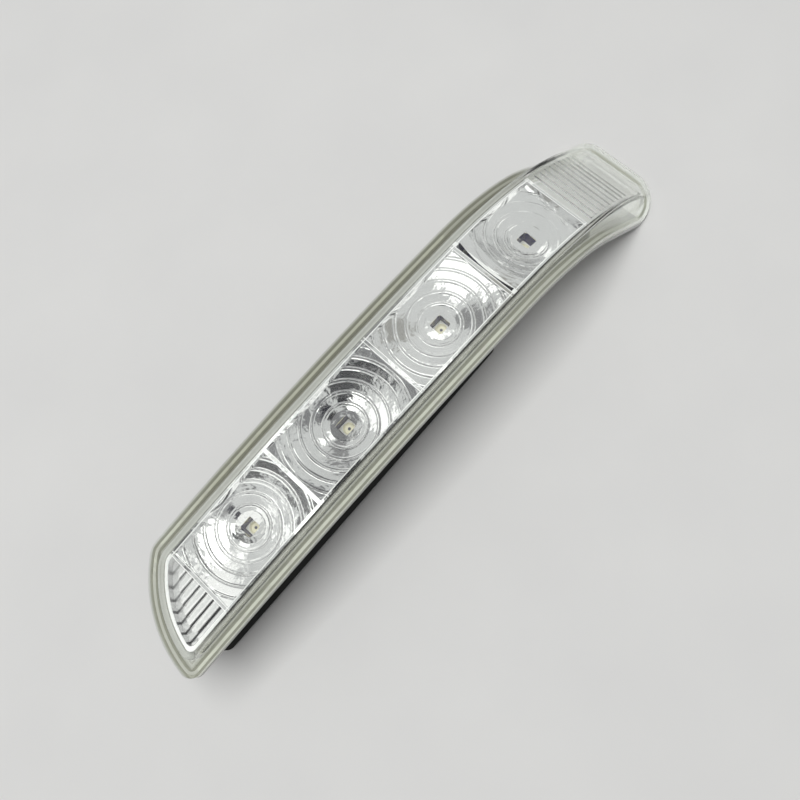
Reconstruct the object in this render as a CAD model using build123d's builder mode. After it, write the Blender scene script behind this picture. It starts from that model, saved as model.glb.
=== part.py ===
from build123d import *
import os
from math import asin, atan2, ceil, cos, degrees, hypot, radians, sin, sqrt, tan

# Mirror turn signal lamp, lying with its face up. X runs along the lamp from the fluted end to the
# curved tip, Y across it and Z out of the face. The origin is in the middle of the surface it lies on.
os.makedirs("parts", exist_ok=True)

# Whole lamp
length = 245.0
width = 41.0
height = 51.0                # crown of the lens above the surface
crown_to_tip = 116.5         # along the lamp

# Side curve of the face: a long flat arc, a quick turn and a straight run down to the tip
main_radius = 750.0
turn_x = 37.5                # from the crown to the start of the quick turn
tip_radius = 94.0
tip_slope = 59.5

# Side curve of the rim round the face
rim_drop = 4.4               # from the face down to the rim
rim_radius = 69.5
rim_slope = 45.0

# Plan of the lamp
end_run = 21.8               # how far the rounded end reaches along the lamp
end_belly = 1.5              # from the lower side to the furthest point of that end
end_corner = 4.5
end_shoulder = 9.0
face_corner = 3.5
row_corner = 2.2
row_shoulder = 5.0
row_square = 0.6
tip_corner_low = 13.5
tip_corner_high = 9.0
face_tip_corner_low = 8.5
face_tip_corner_high = 5.0
flange_top = 5.5             # rim beyond the raised face, side by side
flange_bottom = 3.5
flange_end = 5.0
foot = 2.2

# Outer lens
lens_wall = 2.0
flange_thickness = 2.2
face_fillet = 1.4
tip_flute_count = 9
tip_flute_pitch = 3.2
tip_flute_radius = 2.4
tip_flute_rise = 0.5
tip_flute_gap = 5.6          # from the last rib to the first flute, along the face
tip_flute_end_gap = 1.2

# Reflector
face_gap = 0.4
side_gap = 0.2
skirt_depth = 11.0           # from the face down to the reflector's lower edge
reflector_wall = 1.5
border = 1.1
rib = 1.5
end_length = 26.0            # from the fluted end to the first rib
tip_length = 44.0            # from the last rib to the tip
cell_1_share = 45.0          # the four cells share the length between these ribs
cell_2_share = 48.5
cell_3_share = 43.6
cell_4_share = 37.9
bowl_depth = 5.4             # from the face of the ribs down to the windows
bowl_slope = 10.0
collar_radius = 5.3
collar_rise = 0.3
ring_first = 7.55
ring_pitch = 3.85
ring_slope = 19.1            # of the innermost ring
ring_slope_fall = 0.9        # from ring to ring outwards
window = 5.2
window_corner = 0.7
chimney_wall = 1.2
flute_pitch = 3.35
flute_radius = 1.9
flute_rise = 1.3
fluted_depth = 4.2
fluted_margin = 2.6

# Light sources and circuit board
led_size = 5.0
led_height = 1.6
led_bowl = 2.1
led_bowl_depth = 0.8
led_chip = 1.2
led_chip_height = 0.2
led_corner = 0.6
led_well = 4.6               # from the window down to the top of the light source
led_gap = 0.1
solder = 0.05
board_thickness = 1.0
board_gap = 0.3
led_1_shift = 0.8            # from the middle of its cell, along the lamp
led_2_shift = -0.4
led_3_shift = -0.4
led_4_shift = 1.25
led_1_y = 0.7
led_2_y = -0.7
led_3_y = -0.9
led_4_y = -1.9
last_bowl_tilt = 5.0

# Carrier frame
carrier_thickness = 2.0
joint_gap = 0.1
tub_wall = 2.0
ledge = 1.8
tub_floor = 2.0
under_board = 2.6
bead_width = 1.0
bead_depth = 0.8
bead_inset = 1.2
boss_wall = 1.6
web_thickness = 1.2
web_depth = 6.0
web_pitch = 9.0
web_count = 3
web_end_inset = 19.0

# Small parts on the board
resistor_length = 6.3
resistor_width = 3.2
resistor_height = 0.7
resistor_cap = 0.6
resistor_cap_rise = 0.05
resistor_before_led = 13.0
resistor_side_inset = 6.8
diode_length = 4.3
diode_width = 2.6
diode_height = 2.2
diode_bevel = 0.5
small_parts_from_rib = 4.4
diode_side_inset = 9.2
capacitor_side_inset = 11.6
capacitor_radius = 3.15
capacitor_height = 4.6
capacitor_base = 6.6
capacitor_base_height = 0.8
capacitor_edge = 0.6
board_screw_shank = 1.1
board_screw_head = 2.5
board_screw_head_height = 1.4
board_screw_length = 4.6
board_screw_from_rib = 9.0
board_screw_side_inset = 5.8
thread_gap = 0.05

# Rear housing
back_wall = 2.0
back_end_inset = 8.0
back_from_rib = 10.1
back_left_depth = 10.7       # height of the box at its left end
back_right_depth = 5.0
back_grow = 2.2              # beyond the reflector's outline
back_corner = 4.0
seal_height = 1.4
socket_before_led = 11.3      # from the first light source
socket_length = 24.0
socket_width = 13.0
socket_wall = 1.6
socket_web = 1.0
socket_corner = 1.5
post_from_socket = 32.0
post_from_end = 17.0
post_radius = 4.5
post_length = 7.8            # the left one, below the back
post_bore = 1.6
post_bore_depth = 8.0
post_draft = 0.5
back_screw_shank = 1.3
back_screw_head = 2.6
back_screw_head_height = 1.6
back_screw_grip = 2.2
back_screw_bite = 3.4
back_screw_left_inset = 14.5
back_screw_right_inset = 7.0
back_screw_side_inset = 4.8
back_column = 3.4
pin_size = 1.0
pin_pitch = 5.0
pin_reach = 5.6              # out of the floor of the socket
pin_above_board = 0.9
pin_gap = 0.1
holder_length = 16.0
holder_width = 5.0
holder_height = 2.4
holder_corner = 0.8
vent_radius = 4.0
vent_height = 2.2
vent_hole = 1.2
peg_from_rib = 20.9
peg_radius = 2.5
peg_length = 7.0
peg_chamfer = 0.6
shoulder_radius = 4.0
shoulder_height = 2.0

# Values that follow from the ones above
crown_x = length / 2 - crown_to_tip
end_radius = (end_run ** 2 + (width - end_belly) ** 2) / (2 * end_run)
end_centre = (-length / 2 + end_radius, -width / 2 + end_belly)
rib_a = -length / 2 + end_length
rib_e = length / 2 - tip_length
stretch = (rib_e - rib_a) / (cell_1_share + cell_2_share + cell_3_share + cell_4_share)
rib_b = rib_a + cell_1_share * stretch
rib_c = rib_b + cell_2_share * stretch
rib_d = rib_c + cell_3_share * stretch
reflector_depth = lens_wall + face_gap
window_depth = reflector_depth + bowl_depth
led_top = window_depth + led_well
board_top = led_top + led_height + solder
board_bottom = board_top + board_thickness
floor_top = board_bottom + under_board
tub_bottom = floor_top + tub_floor
row_y = (flange_bottom - flange_top) / 2
face_half = (width - flange_top - flange_bottom) / 2
row_half = face_half - lens_wall - side_gap
row_end_inset = flange_end + lens_wall + side_gap
row_right = rib_e + rib / 2
back_left = -length / 2 + back_end_inset
back_right = rib_d - back_from_rib
socket_x = (rib_a + rib_b) / 2 + led_1_shift - socket_before_led
post_left_x = socket_x + post_from_socket
post_right_x = back_right - post_from_end
vent_x = (post_left_x + post_right_x) / 2
back_screw_y = row_half + back_grow - back_screw_side_inset
peg_x = rib_d + peg_from_rib
web_end_x = length / 2 - web_end_inset
small_parts_x = rib_a - small_parts_from_rib
diode_y = diode_side_inset - row_half
capacitor_y = row_half - capacitor_side_inset
resistor_y = resistor_side_inset - row_half
board_screw_y = row_half - board_screw_side_inset
chimney_side = window + 2 * chimney_wall
foot_top = flange_thickness + joint_gap + carrier_thickness
carrier_top = flange_thickness + joint_gap
deep = length

turn_angle = degrees(asin(turn_x / main_radius))
main_centre = (crown_x, height - main_radius)
tip_centre = (
    main_centre[0] + (main_radius - tip_radius) * sin(radians(turn_angle)),
    main_centre[1] + (main_radius - tip_radius) * cos(radians(turn_angle)),
)
rim_reach = main_radius - rim_drop
rim_centre = (
    main_centre[0] + (rim_reach - rim_radius) * sin(radians(turn_angle)),
    main_centre[1] + (rim_reach - rim_radius) * cos(radians(turn_angle)),
)
left_angle = degrees(asin((length / 2 + crown_x + foot) / main_radius)) + 1


def slope_at(s):
    """Slope of the face in degrees at the distance s from the crown, measured along the face."""
    turn_s = radians(turn_angle) * main_radius
    if s <= turn_s:
        return degrees(s / main_radius)
    return turn_angle + degrees((s - turn_s) / tip_radius)


def face_plane(s, depth, y=0.0, tilt=0.0):
    """Plane square to the face at the distance s from the crown, at a depth below it, at y from the row."""
    a = radians(slope_at(s))
    on_tip = slope_at(s) > turn_angle
    centre = tip_centre if on_tip else main_centre
    reach = (tip_radius if on_tip else main_radius) - depth
    t = a + radians(tilt)
    return Plane(
        origin=(centre[0] + reach * sin(a), row_y + y, centre[1] + reach * cos(a)),
        x_dir=(cos(t), 0, -sin(t)),
        z_dir=(sin(t), 0, cos(t)),
    )


def along(x, depth):
    """Distance from the crown, along the face, of the place at x on the surface at a depth below it."""
    turn = radians(turn_angle)
    if x <= main_centre[0] + (main_radius - depth) * sin(turn):
        return asin((x - crown_x) / (main_radius - depth)) * main_radius
    return turn * main_radius + (asin((x - tip_centre[0]) / (tip_radius - depth)) - turn) * tip_radius


def below_face(depth):
    """Solid under a surface that runs parallel to the face, at a depth below it."""
    fall = (deep * cos(radians(tip_slope)), -deep * sin(radians(tip_slope)))
    with BuildPart() as under:
        with BuildSketch(Plane.XZ):
            with BuildLine():
                top = CenterArc(main_centre, main_radius - depth, 90 - turn_angle, turn_angle + left_angle)
                tip = CenterArc(tip_centre, tip_radius - depth, 90 - tip_slope, tip_slope - turn_angle)
                run = Line(tip @ 0, tip @ 0 + fall)
                Polyline(top @ 1, (-deep, (top @ 1).Y), (-deep, -2 * deep), ((run @ 1).X, -2 * deep), run @ 1)
            make_face()
        extrude(amount=width, both=True)
    return under.part


def below_rim(depth):
    """Solid under a surface that runs parallel to the rim, at a depth below its upper face."""
    with BuildPart() as under:
        with BuildSketch(Plane.XZ):
            with BuildLine():
                top = CenterArc(main_centre, rim_reach - depth, 90 - turn_angle, turn_angle + left_angle)
                bend = CenterArc(rim_centre, rim_radius - depth, 90 - rim_slope, rim_slope - turn_angle)
                low = foot_top - depth
                run = ((bend @ 0).Y - low) / sin(radians(rim_slope)) * cos(radians(rim_slope))
                Polyline(bend @ 0, ((bend @ 0).X + run, low), (deep, low), (deep, -deep), (-deep, -deep),
                         (-deep, (top @ 1).Y), top @ 1)
            make_face()
        extrude(amount=width, both=True)
    return under.part


def lamp_plan(end, high, low, right, corner_high, corner_low, corner_end, shoulder):
    """Plan outline: straight sides, a rounded end beside the flutes and a square end with round corners."""
    reach = end_radius - end
    top = width / 2 - high
    bottom = -width / 2 + low
    start = (end_centre[0] - sqrt(reach ** 2 - (top - end_centre[1]) ** 2), top)
    finish = (end_centre[0] - sqrt(reach ** 2 - (bottom - end_centre[1]) ** 2), bottom)
    begin = degrees(atan2(top - end_centre[1], start[0] - end_centre[0]))
    end_angle = degrees(atan2(bottom - end_centre[1], finish[0] - end_centre[0])) % 360
    with BuildSketch() as area:
        with BuildLine():
            CenterArc(end_centre, reach, begin, end_angle - begin)
            Polyline(finish, (right, bottom), (right, top), start)
        make_face()
        fillet(area.vertices().sort_by_distance((right, top))[0], corner_high)
        fillet(area.vertices().sort_by_distance((right, bottom))[0], corner_low)
        fillet(area.vertices().sort_by_distance(finish)[0], corner_end)
        fillet(area.vertices().sort_by_distance(start)[0], shoulder)
    return area.sketch


def flange_plan(inset):
    """Outline of the whole rim, moved in by an inset."""
    return lamp_plan(inset, inset, inset, length / 2 - inset, tip_corner_high - inset, tip_corner_low - inset,
                     end_corner - inset, end_shoulder - inset)


def face_plan(inset):
    """Outline of the raised face, moved in by an inset."""
    return lamp_plan(flange_end + inset, flange_top + inset, flange_bottom + inset, length / 2 - foot - inset,
                     face_tip_corner_high - inset / 2, face_tip_corner_low - inset / 2,
                     face_corner - inset / 2, end_shoulder - inset)


def row_plan(grow):
    """Outline of the reflector, moved out by a growth."""
    high = width / 2 - row_y - row_half - grow
    low = width / 2 + row_y - row_half - grow
    out = max(grow, 0)
    return lamp_plan(row_end_inset - grow, high, low, row_right + grow, out + row_square, out + row_square,
                     out + row_corner, out + row_shoulder)


def prism(area):
    """Upright solid over a plan outline, through the whole height."""
    with BuildPart() as solid:
        with BuildSketch(Plane.XY.offset(-height)):
            add(area)
        extrude(amount=3 * height)
    return solid.part


def common(first, *others):
    """Solid that all the given solids share."""
    with BuildPart() as solid:
        add(first)
        for other in others:
            add(other, mode=Mode.INTERSECT)
    return solid.part


# Outer lens: raised clear face on a rim, open below, with flutes inside the tip
flute_places = [
    face_plane(along(rib_e, 0) + tip_flute_gap + k * tip_flute_pitch,
               lens_wall + tip_flute_rise - tip_flute_radius)
    for k in range(tip_flute_count)
]
flute_length = 2 * (face_half - lens_wall - tip_flute_end_gap)
under_half_wall = below_face(lens_wall / 2)
with BuildPart() as tip_flutes:
    with Locations(*flute_places):
        Cylinder(tip_flute_radius, flute_length, rotation=(90, 0, 0))
    add(under_half_wall, mode=Mode.INTERSECT)

under_face = below_face(0)
face_block = prism(face_plan(0))
rim_block = common(below_rim(0), prism(flange_plan(0)))
under_flange = below_rim(flange_thickness)
lens_space = common(below_face(lens_wall), prism(face_plan(lens_wall)))
with BuildPart() as outer_lens:
    add(under_face)
    add(face_block, mode=Mode.INTERSECT)
    top_faces = [f for f in outer_lens.faces() if f.normal_at(f.center()).Z > 0.3]
    fillet([e for e in outer_lens.edges() if sum(1 for f in top_faces if e in f.edges()) == 1], face_fillet)
    add(rim_block)
    add(under_flange, mode=Mode.SUBTRACT)
    add(lens_space, mode=Mode.SUBTRACT)
    add(tip_flutes.part)
outer_lens.part.label = "outer_lens"
export_step(outer_lens.part, "parts/outer_lens.step")

# Reflector: bright metal skin on a thin moulding with four stepped bowls and one fluted end
led_1_at = along((rib_a + rib_b) / 2 + led_1_shift, window_depth)
led_2_at = along((rib_b + rib_c) / 2 + led_2_shift, window_depth)
led_3_at = along((rib_c + rib_d) / 2 + led_3_shift, window_depth)
led_4_at = along((rib_d + rib_e) / 2 + led_4_shift, window_depth)
bowls = [
    (rib_a, rib_b, led_1_at, led_1_y, 0.0),
    (rib_b, rib_c, led_2_at, led_2_y, 0.0),
    (rib_c, rib_d, led_3_at, led_3_y, 0.0),
    (rib_d, rib_e, led_4_at, led_4_y, last_bowl_tilt),
]
longest_cell = max(rib_b - rib_a, rib_c - rib_b, rib_d - rib_c, rib_e - rib_d)
ring_count = 1 + ceil((hypot(longest_cell / 2, row_half) - ring_first) / ring_pitch)
bowl_edge = ring_first + ring_pitch * (ring_count - 1)


def floor_at(radius):
    """Height of the foot of a ring above the window."""
    return (radius - collar_radius) * tan(radians(bowl_slope))


def above_bowl():
    """Space above a stepped bowl, round its own axis: each ring rises steeply and drops back."""
    with BuildPart() as space:
        with BuildSketch(Plane.XZ):
            with BuildLine():
                Polyline((0, 2 * bowl_edge), (0, collar_rise), (collar_radius, collar_rise), (collar_radius, 0))
                inner = collar_radius
                for k in range(ring_count):
                    outer = ring_first + k * ring_pitch
                    rise = (outer - inner) * tan(radians(ring_slope - k * ring_slope_fall))
                    crest = (outer, floor_at(inner) + rise)
                    Line((inner, floor_at(inner)), crest)
                    if k < ring_count - 1:
                        Line(crest, (outer, floor_at(outer)))
                    inner = outer
                Polyline(crest, (bowl_edge, 2 * bowl_edge), (0, 2 * bowl_edge))
            make_face()
        revolve(axis=Axis.Z)
    return space.part


def below_bowl():
    """Space behind the plain back of a bowl, round its own axis."""
    with BuildPart() as space:
        with BuildSketch(Plane.XZ):
            with BuildLine():
                Polyline((0, -reflector_wall), (collar_radius, -reflector_wall),
                         (bowl_edge, floor_at(bowl_edge) - reflector_wall), (bowl_edge, -bowl_edge),
                         (0, -bowl_edge), close=True)
            make_face()
        revolve(axis=Axis.Z)
    return space.part


def cell_prism(left, right, half):
    """Upright solid over one cell between two ribs."""
    with BuildPart() as solid:
        with BuildSketch(Plane.XY.offset(-height)):
            with Locations(((left + right) / 2, row_y)):
                Rectangle(right - left, 2 * half)
        extrude(amount=3 * height)
    return solid.part


front_space = above_bowl()
back_space = below_bowl()
pockets = []
hollows = []
chimneys = []
windows = []
for left, right, at, y, tilt in bowls:
    seat = face_plane(at, window_depth, y, tilt)
    cell = cell_prism(left + rib / 2, right - rib / 2, row_half - border)
    pockets.append(common(cell, front_space.moved(seat.location)))
    inner = cell_prism(left + rib / 2, right - rib / 2, row_half - reflector_wall)
    hollows.append(common(inner, back_space.moved(seat.location)))
    flat = face_plane(at, window_depth, y)
    with BuildPart() as chimney:
        with BuildSketch(flat.offset(collar_rise)):
            RectangleRounded(chimney_side, chimney_side, window_corner + chimney_wall)
        extrude(amount=-(collar_rise + led_well - led_gap))
    chimneys.append(chimney.part)
    with BuildPart() as opening:
        with BuildSketch(flat.offset(2 * bowl_depth)):
            RectangleRounded(window, window, window_corner)
        extrude(amount=-4 * bowl_depth)
    windows.append(opening.part)

row_block = prism(row_plan(0))
under_reflector_face = below_face(reflector_depth)
under_skirt = below_face(skirt_depth)
fluted_half = cell_prism(-length, rib_a - rib / 2, width)
under_fluted_floor = below_face(reflector_depth + fluted_depth)
with BuildPart() as fluted_space:
    add(common(prism(row_plan(-border)), fluted_half))
    add(under_fluted_floor, mode=Mode.SUBTRACT)
fluted_floor = row_plan(-border - fluted_margin)
under_fluted_wall = below_face(reflector_depth + fluted_depth + reflector_wall)
fluted_back = common(prism(row_plan(-reflector_wall)), fluted_half, under_fluted_wall)
flute_top = reflector_depth + fluted_depth - flute_rise + flute_radius
flute_left = -length / 2
flute_plane = face_plane(along((rib_a + flute_left) / 2, 0), flute_top)
flute_count = int(2 * row_half / flute_pitch)
flute_block = common(prism(fluted_floor), fluted_half, under_reflector_face)
with BuildPart() as end_flutes:
    with Locations(flute_plane):
        with GridLocations(0, flute_pitch, 1, flute_count):
            Cylinder(flute_radius, rib_a - flute_left, rotation=(0, 90, 0))
    add(flute_block, mode=Mode.INTERSECT)

with BuildPart() as reflector:
    add(under_reflector_face)
    add(row_block, mode=Mode.INTERSECT)
    add(under_skirt, mode=Mode.SUBTRACT)
    for hollow in hollows:
        add(hollow, mode=Mode.SUBTRACT)
    for chimney_part in chimneys:
        add(chimney_part)
    for pocket in pockets:
        add(pocket, mode=Mode.SUBTRACT)
    for opening_part in windows:
        add(opening_part, mode=Mode.SUBTRACT)
    add(fluted_space.part, mode=Mode.SUBTRACT)
    add(end_flutes.part)
    add(fluted_back, mode=Mode.SUBTRACT)
reflector.part.label = "reflector"
export_step(reflector.part, "parts/reflector.step")


def above(area, floor):
    """Upright space over a plan outline, standing on a curved floor."""
    with BuildPart() as space:
        add(prism(area))
        add(floor, mode=Mode.SUBTRACT)
    return space.part


def surface_z(x, depth):
    """Height, at x on the long flat run, of the surface that lies at a depth below the face."""
    return main_centre[1] + sqrt((main_radius - depth) ** 2 - (x - crown_x) ** 2)


# Carrier frame: rim plate under the lens, closed behind the tip, with a stepped tub for reflector and board
under_plate = below_rim(carrier_top + carrier_thickness)
under_tub = below_face(tub_bottom)
rim_plate = common(below_rim(carrier_top), prism(flange_plan(0)))
tub_block = common(below_rim(carrier_top), prism(row_plan(side_gap + tub_wall)))
reflector_space = above(row_plan(side_gap), below_face(skirt_depth + joint_gap))
board_space = above(row_plan(-ledge), below_face(board_bottom + joint_gap))
floor_space = above(row_plan(-2 * ledge), below_face(floor_top))
boss_zone = common(below_face(board_bottom + joint_gap), prism(row_plan(0)))
bead_ring = flange_plan(bead_inset) - flange_plan(bead_inset + bead_width)
bead_space = above(bead_ring, below_rim(carrier_top + bead_depth))
under_lens_rim = below_rim(flange_thickness)
under_webs = below_rim(carrier_top + carrier_thickness + web_depth)
board_screw_seats = [
    face_plane(along(x - board_screw_from_rib, board_top), board_top, board_screw_y)
    for x in (rib_b, rib_c, rib_d)
]
back_screw_spots = [
    (x, row_y + y)
    for x in (back_left + back_screw_left_inset, back_right - back_screw_right_inset)
    for y in (-back_screw_y, back_screw_y)
]
peg_top = tip_centre[1] + sqrt((tip_radius - tub_bottom) ** 2 - (peg_x - tip_centre[0]) ** 2)

with BuildPart() as tub:
    add(tub_block)
    add(under_tub, mode=Mode.SUBTRACT)
    add(floor_space, mode=Mode.SUBTRACT)

with BuildPart() as bosses:
    with Locations(*board_screw_seats):
        Cylinder(board_screw_shank + boss_wall, tub_bottom, align=(Align.CENTER, Align.CENTER, Align.MAX))
    with Locations(*back_screw_spots):
        Cylinder(back_screw_shank + boss_wall, height, align=(Align.CENTER, Align.CENTER, Align.MIN))
    add(boss_zone, mode=Mode.INTERSECT)
    add(under_tub, mode=Mode.SUBTRACT)

with BuildPart() as webs:
    with Locations(((row_right + web_end_x) / 2, row_y)):
        with GridLocations(0, web_pitch, 1, web_count):
            Box(web_end_x - row_right, web_thickness, height, align=(Align.CENTER, Align.CENTER, Align.MIN))
    add(under_plate, mode=Mode.INTERSECT)
    add(under_webs, mode=Mode.SUBTRACT)

with BuildPart() as carrier_frame:
    add(rim_plate)
    add(under_plate, mode=Mode.SUBTRACT)
    add(webs.part)
    add(tub.part)
    add(bosses.part)
    add(reflector_space, mode=Mode.SUBTRACT)
    add(board_space, mode=Mode.SUBTRACT)
    add(bead_space, mode=Mode.SUBTRACT)
    with BuildSketch(Plane.XY):
        with Locations((socket_x, row_y)):
            RectangleRounded(holder_length, holder_width, holder_corner)
    extrude(amount=surface_z(socket_x, floor_top - under_board / 2), mode=Mode.SUBTRACT)
    with Locations(*board_screw_seats):
        Cylinder(board_screw_shank + thread_gap, board_screw_length + joint_gap,
                 align=(Align.CENTER, Align.CENTER, Align.MAX), mode=Mode.SUBTRACT)
    with Locations(*[(x, y, surface_z(x, tub_bottom)) for x, y in back_screw_spots]):
        Cylinder(back_screw_shank + thread_gap, 2 * (back_screw_bite + joint_gap), mode=Mode.SUBTRACT)
    with BuildSketch(Plane.XY.offset(peg_top - shoulder_height)):
        with Locations((peg_x, row_y)):
            Circle(shoulder_radius)
    extrude(amount=shoulder_height + tub_floor / 2)
    with BuildSketch(Plane.XY.offset(peg_top - shoulder_height)):
        with Locations((peg_x, row_y)):
            Circle(peg_radius)
    extrude(amount=-peg_length)
    tip_face = carrier_frame.faces().filter_by(Plane.XY).sort_by_distance((peg_x, row_y, 0))[0]
    chamfer(tip_face.edges(), peg_chamfer)
carrier_frame.part.label = "carrier_frame"
export_step(carrier_frame.part, "parts/carrier_frame.step")

# Bead of sealant in the groove of the rim plate
with BuildPart() as lens_bead:
    add(bead_space)
    add(under_lens_rim, mode=Mode.INTERSECT)
lens_bead.part.label = "lens_bead"
export_step(lens_bead.part, "parts/lens_bead.step")

# Circuit board: a thin strip that follows the face, with holes for its screws and terminals
terminal_spots = [(socket_x + (k - 1) * pin_pitch, row_y) for k in range(3)]
board_block = common(below_face(board_top), prism(row_plan(-ledge - board_gap)))
under_board_face = below_face(board_bottom)
with BuildPart() as circuit_board:
    add(board_block)
    add(under_board_face, mode=Mode.SUBTRACT)
    with Locations(*board_screw_seats):
        Cylinder(board_screw_shank + board_gap, 4 * board_thickness, mode=Mode.SUBTRACT)
    with BuildSketch(Plane.XY):
        with Locations(*terminal_spots):
            Rectangle(pin_size + 2 * pin_gap, pin_size + 2 * pin_gap)
    extrude(amount=height, mode=Mode.SUBTRACT)
circuit_board.part.label = "circuit_board"
export_step(circuit_board.part, "parts/circuit_board.step")

# Light sources: a square body with a cone that opens over the chip and one cut corner
led_seats = [
    face_plane(led_1_at, board_top - solder, led_1_y),
    face_plane(led_2_at, board_top - solder, led_2_y),
    face_plane(led_3_at, board_top - solder, led_3_y),
    face_plane(led_4_at, board_top - solder, led_4_y),
]
for k, seat in enumerate(led_seats):
    with BuildPart() as led:
        with BuildSketch(seat):
            Rectangle(led_size, led_size)
        extrude(amount=led_height)
        chamfer(led.edges().filter_by(Axis(seat.origin, seat.z_dir))[0], led_corner)
        with BuildSketch(seat.offset(led_height)):
            Circle(led_bowl)
        extrude(amount=-led_bowl_depth, taper=35, mode=Mode.SUBTRACT)
        with BuildSketch(seat.offset(led_height - led_bowl_depth)):
            Rectangle(led_chip, led_chip)
        extrude(amount=led_chip_height)
    led.part.label = f"led_{k + 1}"
    export_step(led.part, f"parts/led_{k + 1}.step")

# Resistors: one ahead of each light source, with a metal cap on each end
for k, at in enumerate((led_1_at, led_2_at, led_3_at, led_4_at)):
    seat = face_plane(at - resistor_before_led, board_top - solder, resistor_y)
    with BuildPart() as resistor:
        with BuildSketch(seat):
            Rectangle(resistor_length, resistor_width)
        extrude(amount=resistor_height)
        with BuildSketch(seat):
            with GridLocations(resistor_length - resistor_cap, 0, 2, 1):
                Rectangle(resistor_cap, resistor_width)
        extrude(amount=resistor_height + resistor_cap_rise)
    resistor.part.label = f"resistor_{k + 1}"
    export_step(resistor.part, f"parts/resistor_{k + 1}.step")

# Diode: a small block with bevelled top edges
diode_seat = face_plane(along(small_parts_x, board_top), board_top - solder, diode_y)
with BuildPart() as diode:
    with BuildSketch(diode_seat):
        Rectangle(diode_length, diode_width)
    extrude(amount=diode_height / 2)
    with BuildSketch(diode_seat.offset(diode_height / 2)):
        Rectangle(diode_length, diode_width)
    extrude(amount=diode_height / 2, taper=degrees(atan2(diode_bevel, diode_height)))
diode.part.label = "diode"
export_step(diode.part, "parts/diode.step")

# Capacitor: a metal can on a square base
capacitor_seat = face_plane(along(small_parts_x, board_top), board_top - solder, capacitor_y)
with BuildPart() as capacitor:
    with BuildSketch(capacitor_seat):
        RectangleRounded(capacitor_base, capacitor_base, capacitor_edge)
    extrude(amount=capacitor_base_height)
    with BuildSketch(capacitor_seat.offset(capacitor_base_height)):
        Circle(capacitor_radius)
    extrude(amount=capacitor_height - capacitor_base_height)
    top_face = capacitor.faces().sort_by(Axis(capacitor_seat.origin, capacitor_seat.z_dir))[-1]
    chamfer(top_face.edges(), capacitor_edge / 2)
capacitor.part.label = "capacitor"
export_step(capacitor.part, "parts/capacitor.step")

# Board screws
with BuildPart() as board_screws:
    with Locations(*board_screw_seats):
        Cylinder(board_screw_shank, board_screw_length, align=(Align.CENTER, Align.CENTER, Align.MAX))
    with Locations(*[seat.offset(solder) for seat in board_screw_seats]):
        Cylinder(board_screw_head, board_screw_head_height, align=(Align.CENTER, Align.CENTER, Align.MIN))
        Cylinder(board_screw_shank, solder, align=(Align.CENTER, Align.CENTER, Align.MAX))
board_screws.part.label = "board_screws"
export_step(board_screws.part, "parts/board_screws.step")

# Rear housing: shallow box with a sloping back, connector socket, two mounting posts and four screw columns
back_left_z = surface_z(back_left, tub_bottom + seal_height) - back_left_depth
back_right_z = surface_z(back_right, tub_bottom + seal_height) - back_right_depth
back_slope = atan2(back_right_z - back_left_z, back_right - back_left)


def back_z(x):
    """Height at x of the sloping outer face of the housing."""
    return back_left_z + (x - back_left) * (back_right_z - back_left_z) / (back_right - back_left)


def back_outline(grow):
    """Plan outline of the housing, moved out by a growth."""
    with BuildSketch() as area:
        add(row_plan(back_grow + grow))
        with Locations(((back_left + back_right) / 2, row_y)):
            RectangleRounded(back_right - back_left + 2 * grow, 2 * (row_half + back_grow + grow),
                             back_corner + grow, mode=Mode.INTERSECT)
    return area.sketch


def below_slope(lift):
    """Solid under the sloping back of the housing, moved up by a lift."""
    with BuildPart() as under:
        with BuildSketch(Plane.XZ):
            with BuildLine():
                Polyline((-deep, -deep), (deep, -deep), (deep, back_z(deep) + lift),
                         (-deep, back_z(-deep) + lift), close=True)
            make_face()
        extrude(amount=width, both=True)
    return under.part


with BuildSketch() as rim_area:
    add(back_outline(0))
    add(back_outline(-back_wall), mode=Mode.SUBTRACT)
    with Locations(*back_screw_spots):
        Circle(back_column)
    add(back_outline(0), mode=Mode.INTERSECT)

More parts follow.
